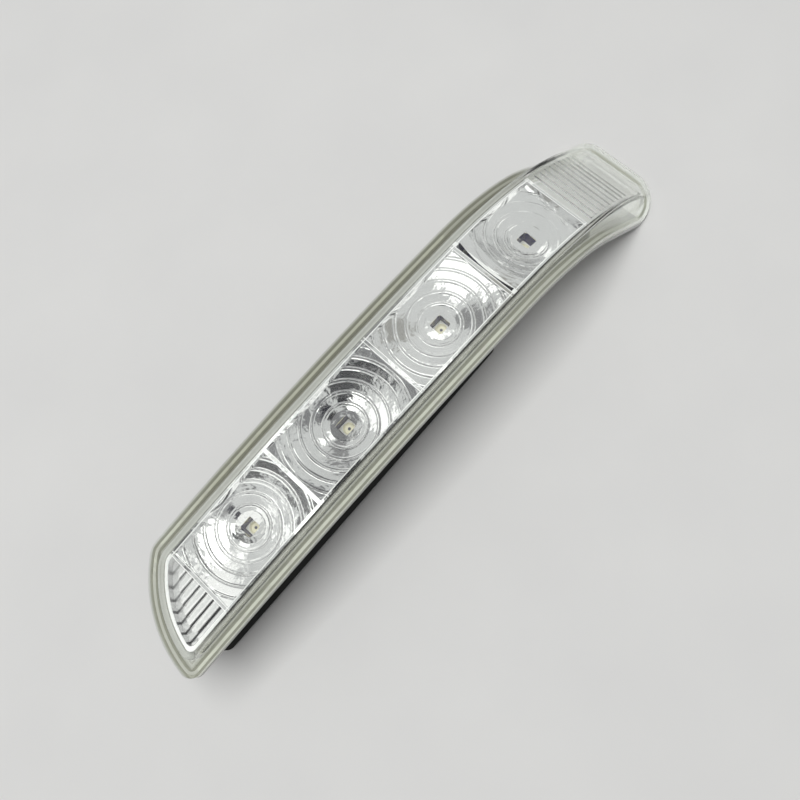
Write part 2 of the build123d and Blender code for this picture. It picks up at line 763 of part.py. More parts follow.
under_seal = below_face(tub_bottom + seal_height)
under_slope = below_slope(0)
under_back_floor = below_slope(back_wall)
back_box = common(prism(back_outline(0)), under_seal)
back_space = above(back_outline(-back_wall / 2), under_back_floor)
rim_walls = common(prism(rim_area.sketch), under_seal)
socket_floor_z = back_z(socket_x - socket_length / 2) - socket_web
post_end_z = back_z(post_left_x) - post_length
back_plane = Plane(
    origin=(vent_x, row_y, back_z(vent_x)),
    x_dir=(cos(back_slope), 0, sin(back_slope)),
    z_dir=(sin(back_slope), 0, -cos(back_slope)),
)
with BuildPart() as rear_housing:
    add(back_box)
    add(back_space, mode=Mode.SUBTRACT)
    add(rim_walls)
    add(under_slope, mode=Mode.SUBTRACT)
    with BuildSketch(Plane.XY):
        with Locations((socket_x, row_y)):
            RectangleRounded(socket_length, socket_width, socket_corner)
    extrude(amount=back_z(socket_x + socket_length / 2) + back_wall / 2)
    with BuildSketch(Plane.XY):
        with Locations((socket_x, row_y)):
            RectangleRounded(socket_length - 2 * socket_wall, socket_width - 2 * socket_wall,
                             socket_corner / 2)
    extrude(amount=socket_floor_z, mode=Mode.SUBTRACT)
    for x in (post_left_x, post_right_x):
        with BuildSketch(Plane.XY.offset(post_end_z)):
            with Locations((x, row_y)):
                Circle(post_radius)
        extrude(amount=back_z(x) + back_wall / 2 - post_end_z, taper=-post_draft)
        with Locations((x, row_y, post_end_z)):
            Cylinder(post_bore, 2 * post_bore_depth, mode=Mode.SUBTRACT)
    with BuildSketch(Plane.XY):
        with Locations(*terminal_spots):
            Rectangle(pin_size + 2 * pin_gap, pin_size + 2 * pin_gap)
    extrude(amount=height, mode=Mode.SUBTRACT)
    for x, y in back_screw_spots:
        with Locations((x, y, 0)):
            Cylinder(back_screw_shank + board_gap, height, align=(Align.CENTER, Align.CENTER, Align.MIN),
                     mode=Mode.SUBTRACT)
            Cylinder(back_screw_head + board_gap, surface_z(x, tub_bottom) - seal_height - back_screw_grip,
                     align=(Align.CENTER, Align.CENTER, Align.MIN), mode=Mode.SUBTRACT)
    with Locations(back_plane):
        Cylinder(vent_hole, 4 * back_wall, mode=Mode.SUBTRACT)
rear_housing.part.label = "rear_housing"
export_step(rear_housing.part, "parts/rear_housing.step")

# Seal between housing and carrier
with BuildPart() as housing_seal:
    add(common(prism(rim_area.sketch), under_tub))
    add(under_seal, mode=Mode.SUBTRACT)
    with Locations(*back_screw_spots):
        Cylinder(back_screw_shank + board_gap, height, align=(Align.CENTER, Align.CENTER, Align.MIN),
                 mode=Mode.SUBTRACT)
housing_seal.part.label = "housing_seal"
export_step(housing_seal.part, "parts/housing_seal.step")

# Terminals: square pins from the socket up through the board
pin_tip_z = socket_floor_z - pin_reach
for k, (x, y) in enumerate(terminal_spots):
    with BuildPart() as terminal:
        with Locations((x, y, pin_tip_z)):
            Box(pin_size, pin_size, surface_z(x, board_top) + pin_above_board - pin_tip_z,
                align=(Align.CENTER, Align.CENTER, Align.MIN))
        chamfer(terminal.faces().sort_by(Axis.Z)[0].edges(), pin_size / 4)
    terminal.part.label = f"terminal_{k + 1}"
    export_step(terminal.part, f"parts/terminal_{k + 1}.step")

# Terminal holder: block under the board that keeps the pins in line
holder_seat = face_plane(along(socket_x, board_bottom), board_bottom)
with BuildPart() as terminal_holder:
    with BuildSketch(holder_seat):
        Rectangle(holder_length - 2 * board_gap, holder_width - 2 * board_gap)
    extrude(amount=-holder_height)
    add(under_board_face, mode=Mode.INTERSECT)
    with BuildSketch(Plane.XY):
        with Locations(*terminal_spots):
            Rectangle(pin_size, pin_size)
    extrude(amount=height, mode=Mode.SUBTRACT)
terminal_holder.part.label = "terminal_holder"
export_step(terminal_holder.part, "parts/terminal_holder.step")

# Vent cap: mushroom with a stem in the hole of the sloping back
with BuildPart() as vent_cap:
    with BuildSketch(back_plane):
        Circle(vent_radius)
    extrude(amount=vent_height)
    cap_face = vent_cap.faces().sort_by(Axis(back_plane.origin, back_plane.z_dir))[-1]
    chamfer(cap_face.edges(), vent_height / 3)
    with BuildSketch(back_plane):
        Circle(vent_hole)
    extrude(amount=-back_wall)
vent_cap.part.label = "vent_cap"
export_step(vent_cap.part, "parts/vent_cap.step")

# Housing screws: heads sunk in the columns, shanks up into the carrier
with BuildPart() as housing_screws:
    for x, y in back_screw_spots:
        seat_z = surface_z(x, tub_bottom) - seal_height - back_screw_grip
        with Locations((x, y, seat_z)):
            Cylinder(back_screw_head, back_screw_head_height, align=(Align.CENTER, Align.CENTER, Align.MAX))
            Cylinder(back_screw_shank, back_screw_grip + seal_height + back_screw_bite,
                     align=(Align.CENTER, Align.CENTER, Align.MIN))
housing_screws.part.label = "housing_screws"
export_step(housing_screws.part, "parts/housing_screws.step")
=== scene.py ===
# %% [markdown]
# # A mirror turn signal lamp
# The lamp lies face up on a pale table. Its CAD model is the fixed frame: every solid is already in its
# place, in metres. What is left for Blender is how each piece looks, with the details too fine for the
# solids drawn as bump and tone, and a small photo studio round it.

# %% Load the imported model
import math

import bpy
from mathutils import Matrix, Vector


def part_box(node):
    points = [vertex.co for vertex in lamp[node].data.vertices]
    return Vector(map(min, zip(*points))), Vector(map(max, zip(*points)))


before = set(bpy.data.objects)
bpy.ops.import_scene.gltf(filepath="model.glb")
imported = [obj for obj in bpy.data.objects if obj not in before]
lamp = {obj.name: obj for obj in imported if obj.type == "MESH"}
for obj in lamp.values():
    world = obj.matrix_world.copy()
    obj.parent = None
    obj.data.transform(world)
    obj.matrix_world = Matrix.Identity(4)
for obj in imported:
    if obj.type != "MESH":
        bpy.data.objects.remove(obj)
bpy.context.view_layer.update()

# %% [markdown]
# ## The camera
# The lamp was seen from just above, at arm's length, and turned by about fifty degrees in the frame. So
# the camera looks almost straight down. Its axes are built from the viewing direction and that turn,
# which keeps the numbers readable and needs no lens shift.

# %% Camera
CAMERA_PLACE = Vector((-0.0375, -0.0827, 0.3121))
VIEW = Vector((0.1003, 0.2622, -0.9598)).normalized()
FRAME_TURN = math.radians(49.8645)
TILT = math.radians(-1.12)

across = VIEW.cross(Vector((0, 1, 0))).normalized()
down = VIEW.cross(across)
across, down = (
    math.cos(TILT) * across + math.sin(TILT) * down,
    -math.sin(TILT) * across + math.cos(TILT) * down,
)
right = math.cos(FRAME_TURN) * across + math.sin(FRAME_TURN) * down
low = -math.sin(FRAME_TURN) * across + math.cos(FRAME_TURN) * down

view_data = bpy.data.cameras.new("studio_camera")
view_data.lens = 38.25
view_data.sensor_width = 36.0
view_data.clip_start = 0.01
camera = bpy.data.objects.new("studio_camera", view_data)
camera.matrix_world = Matrix.Translation(CAMERA_PLACE) @ Matrix((right, -low, -VIEW)).transposed().to_4x4()
bpy.context.scene.collection.objects.link(camera)
bpy.context.scene.camera = camera
print("camera height in mm:", round(CAMERA_PLACE.z * 1000), "lens:", view_data.lens)

# %% [markdown]
# ## Tools for materials
# Colours are easiest to read as hex values, but a shader wants linear light, so one function turns them.
# A second small function adds any node with its settings and links, and a third starts a material.


# %% Colour, node and material helpers
def linear(hex_colour):
    """Linear RGBA of an sRGB hex colour."""
    parts = [int(hex_colour[i:i + 2], 16) / 255 for i in (1, 3, 5)]
    return [c / 12.92 if c <= 0.04045 else ((c + 0.055) / 1.055) ** 2.4 for c in parts] + [1.0]


def add(tree, kind, inputs=None, **settings):
    """Adds a node: settings are its own options, inputs are values or sockets to link."""
    node = tree.nodes.new(kind)
    for name, value in settings.items():
        setattr(node, name, value)
    for name, value in (inputs or {}).items():
        if isinstance(value, bpy.types.NodeSocket):
            tree.links.new(value, node.inputs[name])
        else:
            node.inputs[name].default_value = value
    return node


def start(name):
    """An empty material, its node tree and the place in millimetres on the lamp."""
    material = bpy.data.materials.new(name)
    material.use_nodes = True
    tree = material.node_tree
    tree.nodes.clear()
    at = add(tree, "ShaderNodeTexCoord").outputs["Object"]
    mm = add(tree, "ShaderNodeVectorMath", {0: at, "Scale": 1000.0}, operation="SCALE").outputs["Vector"]
    return material, tree, mm


def output(tree, surface):
    """Ends a material with its surface."""
    add(tree, "ShaderNodeOutputMaterial", {"Surface": surface})


def dress(material, *names):
    """Gives a material to CAD nodes, in place of what they came with."""
    for name in names:
        slots = lamp[name].data.materials
        slots.clear()
        slots.append(material)
    print(material.name, "->", ", ".join(names))


# %% [markdown]
# ## The lens: clear acrylic, injection moulded
# Tail and side lamps are moulded from acrylic glass, PMMA, because it stays clear in sunlight. Its index
# of refraction is 1.49. The polished mould leaves it glossy, with a faint waviness a few millimetres
# long. Its rim is tinted darker and a little olive in bands along the outline, and that tint is painted
# shade: the shaded table and frame seen through the rim, and light bent away at its curves. The tones
# are chosen by how far in from the outline a point is. Lengths in the materials are in millimetres,
# apart from a bump's distance, which is in metres.

# %% How far in from the outline a point is
ARC_CENTRE, ARC_RADIUS, HALF_WIDTH = (-75.81, -19.0, 0.0), 46.69, 20.5
FAR_OFF = 500.0


def from_outline(tree, mm):
    """Distance in mm from the long sides and from the round end.

    Past the arc's centre only the sides count, so the arc is put far off there.
    """
    place = add(tree, "ShaderNodeSeparateXYZ", {"Vector": mm})
    side = add(tree, "ShaderNodeMath", {0: place.outputs["Y"]}, operation="ABSOLUTE")
    inward = add(tree, "ShaderNodeMath", {0: HALF_WIDTH, 1: side.outputs["Value"]}, operation="SUBTRACT")
    flat = add(tree, "ShaderNodeVectorMath", {0: mm, 1: ARC_CENTRE}, operation="SUBTRACT")
    flat = add(tree, "ShaderNodeVectorMath", {0: flat.outputs["Vector"], 1: (1, 1, 0)}, operation="MULTIPLY")
    flat = add(tree, "ShaderNodeVectorMath", {0: flat.outputs["Vector"]}, operation="LENGTH")
    arc = add(tree, "ShaderNodeMath", {0: ARC_RADIUS, 1: flat.outputs["Value"]}, operation="SUBTRACT")
    past = add(tree, "ShaderNodeMath", {0: place.outputs["X"], 1: ARC_CENTRE[0]}, operation="GREATER_THAN")
    arc = add(tree, "ShaderNodeMath", {0: past.outputs["Value"], 1: FAR_OFF, 2: arc.outputs["Value"]},
              operation="MULTIPLY_ADD")
    return add(tree, "ShaderNodeMath", {0: inward.outputs["Value"], 1: arc.outputs["Value"]},
               operation="MINIMUM").outputs["Value"]


def ramp_of(node, first, last, *stops):
    """Sets the stops of a colour ramp: places from 0 to 1 with hex colours."""
    ramp = node.color_ramp.elements
    for element, (stop, colour) in zip((ramp[0], ramp[1]), (first, last)):
        element.position, element.color = stop, linear(colour)
    for stop, colour in stops:
        ramp.new(stop).color = linear(colour)


print("outline arc radius in mm:", ARC_RADIUS)

# %% Clear acrylic: waviness and haze
FLOW_MM, FINE_MM, HAZE = 6.0, 1.1, (0.015, 0.05)
acrylic, tree, mm = start("clear_acrylic_moulded")
flow = add(tree, "ShaderNodeTexNoise", {"Vector": mm, "Scale": 1 / FLOW_MM, "Detail": 2.0})
fine = add(tree, "ShaderNodeTexNoise", {"Vector": mm, "Scale": 1 / FINE_MM, "Detail": 3.0})
waves = add(tree, "ShaderNodeBump", {"Height": flow.outputs["Fac"], "Strength": 0.05, "Distance": 0.0006})
waves = add(tree, "ShaderNodeBump", {"Height": fine.outputs["Fac"], "Strength": 0.02, "Distance": 0.0002,
                                     "Normal": waves.outputs["Normal"]})
haze = add(tree, "ShaderNodeMapRange", {"Value": fine.outputs["Fac"], "From Min": 0.45, "From Max": 0.8,
                                        "To Min": HAZE[0], "To Max": HAZE[1]})
print("waves of", FLOW_MM, "and", FINE_MM, "mm, roughness", HAZE)

# %% Clear acrylic: bands of painted shade across the rim
RAMP_MM = 10.0
depth_in = add(tree, "ShaderNodeMath", {0: from_outline(tree, mm), 1: RAMP_MM}, operation="DIVIDE")
# The darker bands of this ramp are painted shade.
rim_shade_ramp = add(tree, "ShaderNodeValToRGB", {"Fac": depth_in.outputs["Value"]})
ramp_of(rim_shade_ramp, (0.00, "#CCCBC5"), (0.62, "#FCFDFB"), (0.05, "#BAB9B0"), (0.10, "#B2B1A6"),
        (0.14, "#C3C2BA"), (0.24, "#BBBAB0"), (0.30, "#ADACA0"), (0.34, "#C4C3BD"), (0.42, "#CCCBC7"),
        (0.46, "#BDBCB6"), (0.52, "#D8D7D4"))
print("tones across the rim:", len(rim_shade_ramp.color_ramp.elements))

# %% Clear acrylic: less painted shade at the tip, along the lower side and at the fluted end
TIP_FROM, TIP_FULL, END_FROM, END_FULL = 80.0, 100.0, -70.0, -95.0
spot = add(tree, "ShaderNodeSeparateXYZ", {"Vector": mm})
to_tip = add(tree, "ShaderNodeMapRange", {"Value": spot.outputs["X"], "From Min": TIP_FROM,
                                          "From Max": TIP_FULL})
low_side = add(tree, "ShaderNodeMapRange", {"Value": spot.outputs["Y"], "From Min": 2.0, "From Max": -2.0,
                                            "To Max": 0.62})
to_end = add(tree, "ShaderNodeMapRange", {"Value": spot.outputs["X"], "From Min": END_FROM,
                                          "From Max": END_FULL, "To Max": 0.55})
# Less painted shade at the tip, along the lower side and at the fluted end.
unshaded_share = add(tree, "ShaderNodeMath", {0: to_tip.outputs["Result"], 1: low_side.outputs["Result"]},
                  operation="MAXIMUM")
unshaded_share = add(tree, "ShaderNodeMath", {0: unshaded_share.outputs["Value"], 1: to_end.outputs["Result"]},
                  operation="MAXIMUM")
tint_and_shade = add(tree, "ShaderNodeMix", {"Factor": unshaded_share.outputs["Value"], "A": rim_shade_ramp.outputs["Color"],
                                   "B": linear("#FCFDFB")}, data_type="RGBA")
print("the rim is clear past x in mm:", TIP_FULL)

# %% [markdown]
# Where the lower side wall joins the face, light is thrown sideways, and the eye sees a thin dark line
# of shade along the seam. It is painted shade, a dark colour in the lens. It starts a little way in from
# the fluted end and fades at the tip.

# %% Clear acrylic: painted shade along the seam
SEAM_Y = -15.45
seam_shade = add(tree, "ShaderNodeMath", {0: spot.outputs["Y"], 1: SEAM_Y}, operation="SUBTRACT")
seam_shade = add(tree, "ShaderNodeMath", {0: seam_shade.outputs["Value"]}, operation="ABSOLUTE")
seam_shade = add(tree, "ShaderNodeMapRange", {"Value": seam_shade.outputs["Value"], "From Min": 0.38, "From Max": 0.18})
seam_shade_fade = add(tree, "ShaderNodeMapRange", {"Value": spot.outputs["X"], "From Min": 70.0,
                                             "From Max": 95.0, "To Min": 0.92, "To Max": 0.25})
seam_shade = add(tree, "ShaderNodeMath", {0: seam_shade.outputs["Result"], 1: seam_shade_fade.outputs["Result"]},
           operation="MULTIPLY")
seam_shade_start = add(tree, "ShaderNodeMapRange", {"Value": spot.outputs["X"], "From Min": -110.0,
                                              "From Max": -100.0})
seam_shade = add(tree, "ShaderNodeMath", {0: seam_shade.outputs["Value"], 1: seam_shade_start.outputs["Result"]},
           operation="MULTIPLY")
# Painted shade: a thin dark line along the seam.
tint_and_shade = add(tree, "ShaderNodeMix", {"Factor": seam_shade.outputs["Value"], "A": tint_and_shade.outputs["Result"],
                                   "B": linear("#2A2A2A")}, data_type="RGBA")
print("seam at y in mm:", SEAM_Y)

# %% [markdown]
# To a shadow ray, which Cycles sends from a surface to a lamp, refracting glass is a wall. So the lens
# mixes such glass with a clear sheet that bends nothing, and the sheet takes over for some rays: shadow
# rays, rays caught in the rim for more than four passes, half of the camera's own at the thin tip, and
# those that leave the underside of the flange, because it lies on the carrier there.

# %% Clear acrylic: glass and clear sheet
MOST_PASSES, TIP_SHARE, LAND_MM = 4.5, 0.5, 3.0
glass = add(tree, "ShaderNodeBsdfPrincipled", {
    "Base Color": tint_and_shade.outputs["Result"], "Roughness": haze.outputs["Result"], "IOR": 1.49,
    "Transmission Weight": 1.0, "Normal": waves.outputs["Normal"]})
clear_sheet = add(tree, "ShaderNodeBsdfTransparent", {"Color": linear("#FAFBF9")})
ray = add(tree, "ShaderNodeLightPath")
straight = add(tree, "ShaderNodeMath", {0: ray.outputs["Transmission Depth"], 1: MOST_PASSES},
               operation="GREATER_THAN")
straight = add(tree, "ShaderNodeMath", {0: straight.outputs["Value"], 1: ray.outputs["Is Shadow Ray"]},
               operation="MAXIMUM")
thin_tip = add(tree, "ShaderNodeMath", {0: to_tip.outputs["Result"], 1: TIP_SHARE}, operation="MULTIPLY")
thin_tip = add(tree, "ShaderNodeMath", {0: thin_tip.outputs["Value"], 1: ray.outputs["Is Camera Ray"]},
               operation="MULTIPLY")
straight = add(tree, "ShaderNodeMath", {0: straight.outputs["Value"], 1: thin_tip.outputs["Value"]},
               operation="MAXIMUM")
on_land = add(tree, "ShaderNodeMath", {0: depth_in.outputs["Value"], 1: LAND_MM / RAMP_MM},
              operation="LESS_THAN")
surface = add(tree, "ShaderNodeNewGeometry")
on_land = add(tree, "ShaderNodeMath", {0: on_land.outputs["Value"], 1: surface.outputs["Backfacing"]},
              operation="MULTIPLY")
straight = add(tree, "ShaderNodeMath", {0: straight.outputs["Value"], 1: on_land.outputs["Value"]},
               operation="MAXIMUM")
lets_through = add(tree, "ShaderNodeMixShader", {"Fac": straight.outputs["Value"],
                                                 1: glass.outputs["BSDF"], 2: clear_sheet.outputs["BSDF"]})
output(tree, lets_through.outputs["Shader"])
dress(acrylic, "outer_lens")

# %% [markdown]
# ## The reflector: vacuum-metallised ABS
# The bowls are a plastic moulding with a skin of aluminium a tenth of a micrometre thick, laid on in
# vacuum. It is a mirror, so nearly all that it shows is its surroundings. The solid has the stepped
# rings as plain cones. On the real moulding each ring's crest and root are rounded by the cutter, so a
# bump rounds them here. It needs the distance of each point from the axis of its bowl.

# %% The four bowls: window centre in mm and lean towards the tip in degrees
bowl_places = [
    ((-73.20, -0.30, 38.96), -6.13),
    ((-27.65, -1.70, 42.44), -2.60),
    ((18.40, -1.90, 43.10), 0.96),
    ((60.80, -2.90, 39.52), 19.79),
]
rib_places = (-51.5, -3.0, 40.6)
end_rib, tip_rib = -96.5, 78.5
first_ring, ring_pitch = 7.55, 3.85
bowl_axes = [(math.sin(math.radians(lean)), 0.0, math.cos(math.radians(lean))) for _, lean in bowl_places]
print("bowls:", len(bowl_places), "rings every", ring_pitch, "mm")


# %% Distance from the axis of the bowl that a point is in
def per_cell(tree, along, vectors):
    """A vector that changes at each rib between the cells."""
    total = add(tree, "ShaderNodeCombineXYZ", {"X": vectors[0][0], "Y": vectors[0][1], "Z": vectors[0][2]})
    for rib, before, after in zip(rib_places, vectors, vectors[1:]):
        past = add(tree, "ShaderNodeMath", {0: along, 1: rib}, operation="GREATER_THAN")
        change = add(tree, "ShaderNodeVectorMath", {
            0: [b - a for a, b in zip(before, after)], "Scale": past.outputs["Value"]}, operation="SCALE")
        total = add(tree, "ShaderNodeVectorMath", {0: total.outputs["Vector"], 1: change.outputs["Vector"]},
                    operation="ADD")
    return total.outputs["Vector"]


mirror, tree, mm = start("vacuum_metallised_abs")
along = add(tree, "ShaderNodeSeparateXYZ", {"Vector": mm}).outputs["X"]
centre = per_cell(tree, along, [place for place, _ in bowl_places])
axis = per_cell(tree, along, bowl_axes)
arm = add(tree, "ShaderNodeVectorMath", {0: mm, 1: centre}, operation="SUBTRACT").outputs["Vector"]
radius = add(tree, "ShaderNodeVectorMath", {0: arm, 1: axis}, operation="CROSS_PRODUCT").outputs["Vector"]
radius = add(tree, "ShaderNodeVectorMath", {0: radius}, operation="LENGTH").outputs["Value"]
rings = add(tree, "ShaderNodeMath", {0: radius, 1: first_ring}, operation="SUBTRACT")
rings = add(tree, "ShaderNodeMath", {0: rings.outputs["Value"], 1: ring_pitch}, operation="DIVIDE")
rings = add(tree, "ShaderNodeMath", {0: rings.outputs["Value"]}, operation="FRACT").outputs["Value"]
print("distance from the bowl's axis ready in", mirror.name)

# %% Rounded profile of one ring, from 0 at its root to 1 at the next
profile = add(tree, "ShaderNodeFloatCurve", {"Value": rings})
curve = profile.mapping.curves[0]
curve.points[0].location = (0.0, 0.50)
curve.points[1].location = (1.0, 0.50)
for x, y in ((0.04, 0.555), (0.085, 0.585), (0.13, 0.555), (0.17, 0.50), (0.78, 0.50), (0.85, 0.545),
             (0.92, 0.50)):
    curve.points.new(x, y).handle_type = "VECTOR"
profile.mapping.update()
print("ring profile points:", len(curve.points))

# %% [markdown]
# The steps are only in the bowls, so the rounding stops at the walls and ribs between them. The edges
# of ribs and border are softly rounded, and the light they catch is a painted highlight: a fine white
# line round each bowl, where the white skin is made rougher and only partly metallic. The walls of the
# square windows are masked from the metal, and in the windows the dark plastic shows violet. The outer
# wall under the lower border carries painted shade: it is drawn near black and without metal, for the
# deep gap beside it. How deep a point lies is measured from the curved face.

# %% Height of the reflector's face at each place along the lamp, measured from its mesh
corners = [lamp["reflector"].matrix_world @ vertex.co * 1000 for vertex in lamp["reflector"].data.vertices]
FACE_FROM, FACE_TO, FACE_TOP = -125.0, 125.0, 51.0
FACE_STEP = 4
face_line = {}
for corner in corners:
    slot_x = round(corner.x / FACE_STEP)
    if corner.z > face_line.get(slot_x, (0.0, 0.0))[1]:
        face_line[slot_x] = (corner.x, corner.z)
face_line = [face_line[slot_x] for slot_x in sorted(face_line)]
print("face line points:", len(face_line), "highest:", round(max(z for _, z in face_line), 1), "mm")

# %% How far a point lies below the face
spot = add(tree, "ShaderNodeSeparateXYZ", {"Vector": mm})
along_0_1 = add(tree, "ShaderNodeMapRange", {"Value": spot.outputs["X"], "From Min": FACE_FROM,
                                             "From Max": FACE_TO})
face = add(tree, "ShaderNodeFloatCurve", {"Value": along_0_1.outputs["Result"]})
face_curve = face.mapping.curves[0]
span = FACE_TO - FACE_FROM
face_curve.points[0].location = (0.0, face_line[0][1] / FACE_TOP)
face_curve.points[1].location = (1.0, face_line[-1][1] / FACE_TOP)
for x, z in face_line:
    face_curve.points.new((x - FACE_FROM) / span, z / FACE_TOP).handle_type = "VECTOR"
face.mapping.update()
below = add(tree, "ShaderNodeMath", {0: face.outputs["Value"], 1: FACE_TOP}, operation="MULTIPLY")
below = add(tree, "ShaderNodeMath", {0: below.outputs["Value"], 1: spot.outputs["Z"]}, operation="SUBTRACT")
top = add(tree, "ShaderNodeMapRange", {"Value": below.outputs["Value"], "From Min": 0.18, "From Max": 0.40,
                                       "To Min": 1.0, "To Max": 0.0}).outputs["Result"]
print("the face's curve has", len(face_curve.points), "points")

# %% How far out from the middle of the row of bowls a point is
ROW_Y = -1.0
offset = add(tree, "ShaderNodeMath", {0: spot.outputs["Y"], 1: -ROW_Y}, operation="ADD")
offset = add(tree, "ShaderNodeMath", {0: offset.outputs["Value"]}, operation="ABSOLUTE")


def line_at(value, place, half_width):
    """1 on a line that is this far out, 0 away from it, with a soft edge."""
    off = add(tree, "ShaderNodeMath", {0: value, 1: place}, operation="SUBTRACT")
    off = add(tree, "ShaderNodeMath", {0: off.outputs["Value"]}, operation="ABSOLUTE")
    return add(tree, "ShaderNodeMapRange", {"Value": off.outputs["Value"], "From Min": half_width + 0.06,
                                            "From Max": half_width - 0.06}).outputs["Result"]


print("middle of the row at y in mm:", ROW_Y)

# %% Masks: inside of a bowl, and fine painted highlight lines on the edges of ribs and border
BOWL_HALF, BORDER_EDGE, RIB_EDGE, RIB_CLEAR = 12.6, 12.92, 0.60, 0.9
END_FLUTES_X, COLLAR_RADIUS = -97.2, 6.6
in_bowl = add(tree, "ShaderNodeMath", {0: offset.outputs["Value"], 1: BOWL_HALF}, operation="LESS_THAN")
highlight_lines = line_at(offset.outputs["Value"], BORDER_EDGE, 0.20)
for rib in (end_rib, *rib_places, tip_rib):
    away = add(tree, "ShaderNodeMath", {0: spot.outputs["X"], 1: rib}, operation="SUBTRACT")
    away = add(tree, "ShaderNodeMath", {0: away.outputs["Value"]}, operation="ABSOLUTE").outputs["Value"]
    highlight_lines = add(tree, "ShaderNodeMath", {0: highlight_lines, 1: line_at(away, RIB_EDGE, 0.18)},
                operation="MAXIMUM").outputs["Value"]
    away = add(tree, "ShaderNodeMath", {0: away, 1: RIB_CLEAR}, operation="GREATER_THAN")
    in_bowl = add(tree, "ShaderNodeMath", {0: in_bowl.outputs["Value"], 1: away.outputs["Value"]},
                  operation="MULTIPLY")
past_flutes = add(tree, "ShaderNodeMath", {0: spot.outputs["X"], 1: END_FLUTES_X},
                  operation="GREATER_THAN")
in_bowl = add(tree, "ShaderNodeMath", {0: in_bowl.outputs["Value"], 1: past_flutes.outputs["Value"]},
              operation="MULTIPLY").outputs["Value"]
off_collar = add(tree, "ShaderNodeMath", {0: radius, 1: COLLAR_RADIUS}, operation="GREATER_THAN")
in_bowl = add(tree, "ShaderNodeMath", {0: in_bowl, 1: off_collar.outputs["Value"]},
              operation="MULTIPLY").outputs["Value"]
in_end = add(tree, "ShaderNodeMath", {0: 1.0, 1: past_flutes.outputs["Value"]}, operation="SUBTRACT")
highlight_lines = add(tree, "ShaderNodeMath", {0: highlight_lines, 1: in_end.outputs["Value"]}, operation="MAXIMUM")
highlight_and_satin = add(tree, "ShaderNodeMath", {0: highlight_lines.outputs["Value"], 1: top}, operation="MULTIPLY")
print("fine lines beside", len(rib_places) + 2, "ribs")

# %% Masks: satin places, which are the foot of the rib before the last bowl and the fluted end
FOOT_X, SATIN_SHARE = 42.0, 0.5
foot = line_at(spot.outputs["X"], FOOT_X, 0.75)
highlight_and_satin = add(tree, "ShaderNodeMath", {0: highlight_and_satin.outputs["Value"], 1: foot}, operation="MAXIMUM")
satin = add(tree, "ShaderNodeMath", {0: in_end.outputs["Value"], 1: SATIN_SHARE}, operation="MULTIPLY")
highlight_and_satin = add(tree, "ShaderNodeMath", {0: highlight_and_satin.outputs["Value"], 1: satin.outputs["Value"]},
           operation="MAXIMUM").outputs["Value"]
print("satin at x in mm:", FOOT_X, "and short of", END_FLUTES_X)

# %% Masks: bare walls of the windows, and painted shade on the outer wall under the lower border
WINDOW_RADIUS, WINDOW_LIP, OUTER_WALL_Y, WALL_DEPTH = 4.0, -0.12, -14.75, 0.35
height = add(tree, "ShaderNodeVectorMath", {0: arm, 1: axis}, operation="DOT_PRODUCT").outputs["Value"]
deep = add(tree, "ShaderNodeMath", {0: height, 1: WINDOW_LIP}, operation="LESS_THAN")
close = add(tree, "ShaderNodeMath", {0: radius, 1: WINDOW_RADIUS}, operation="LESS_THAN")
bare = add(tree, "ShaderNodeMath", {0: deep.outputs["Value"], 1: close.outputs["Value"]},
           operation="MULTIPLY").outputs["Value"]
outside = add(tree, "ShaderNodeMath", {0: spot.outputs["Y"], 1: OUTER_WALL_Y}, operation="LESS_THAN")
gap_shade = add(tree, "ShaderNodeMath", {0: below.outputs["Value"], 1: WALL_DEPTH}, operation="GREATER_THAN")
gap_shade = add(tree, "ShaderNodeMath", {0: gap_shade.outputs["Value"], 1: outside.outputs["Value"]},
             operation="MULTIPLY").outputs["Value"]
print("windows bare within mm:", WINDOW_RADIUS)

# %% [markdown]
# The end beyond the first rib is fluted. In each valley the skin sees only the next flute, and its dark
# is painted shade: a dark colour in the valleys, most at the lower side and less towards the upper one.

# %% Masks: painted shade in the valleys between the flutes
FLUTE_PITCH = 3.35
phase = add(tree, "ShaderNodeMath", {0: spot.outputs["Y"], 1: -ROW_Y}, operation="ADD")
phase = add(tree, "ShaderNodeMath", {0: phase.outputs["Value"], 1: FLUTE_PITCH}, operation="DIVIDE")
phase = add(tree, "ShaderNodeMath", {0: phase.outputs["Value"]}, operation="FRACT")
phase = add(tree, "ShaderNodeMath", {0: phase.outputs["Value"], 1: 0.5}, operation="SUBTRACT")
phase = add(tree, "ShaderNodeMath", {0: phase.outputs["Value"]}, operation="ABSOLUTE")
valley_shade = add(tree, "ShaderNodeMapRange", {"Value": phase.outputs["Value"], "From Min": 0.33,
                                          "From Max": 0.44}, interpolation_type="SMOOTHSTEP")
valley_shade_fading = add(tree, "ShaderNodeMapRange", {"Value": spot.outputs["Y"], "From Min": -10.0, "From Max": 9.0,
                                          "To Min": 0.97, "To Max": 0.45})
valley_shade = add(tree, "ShaderNodeMath", {0: valley_shade.outputs["Result"], 1: valley_shade_fading.outputs["Result"]},
             operation="MULTIPLY")
under_face = add(tree, "ShaderNodeMath", {0: 1.0, 1: top}, operation="SUBTRACT")
valley_shade = add(tree, "ShaderNodeMath", {0: valley_shade.outputs["Value"], 1: under_face.outputs["Value"]},
             operation="MULTIPLY")
valley_shade = add(tree, "ShaderNodeMath", {0: valley_shade.outputs["Value"], 1: in_end.outputs["Value"]},
             operation="MULTIPLY").outputs["Value"]
print("flutes every", FLUTE_PITCH, "mm")

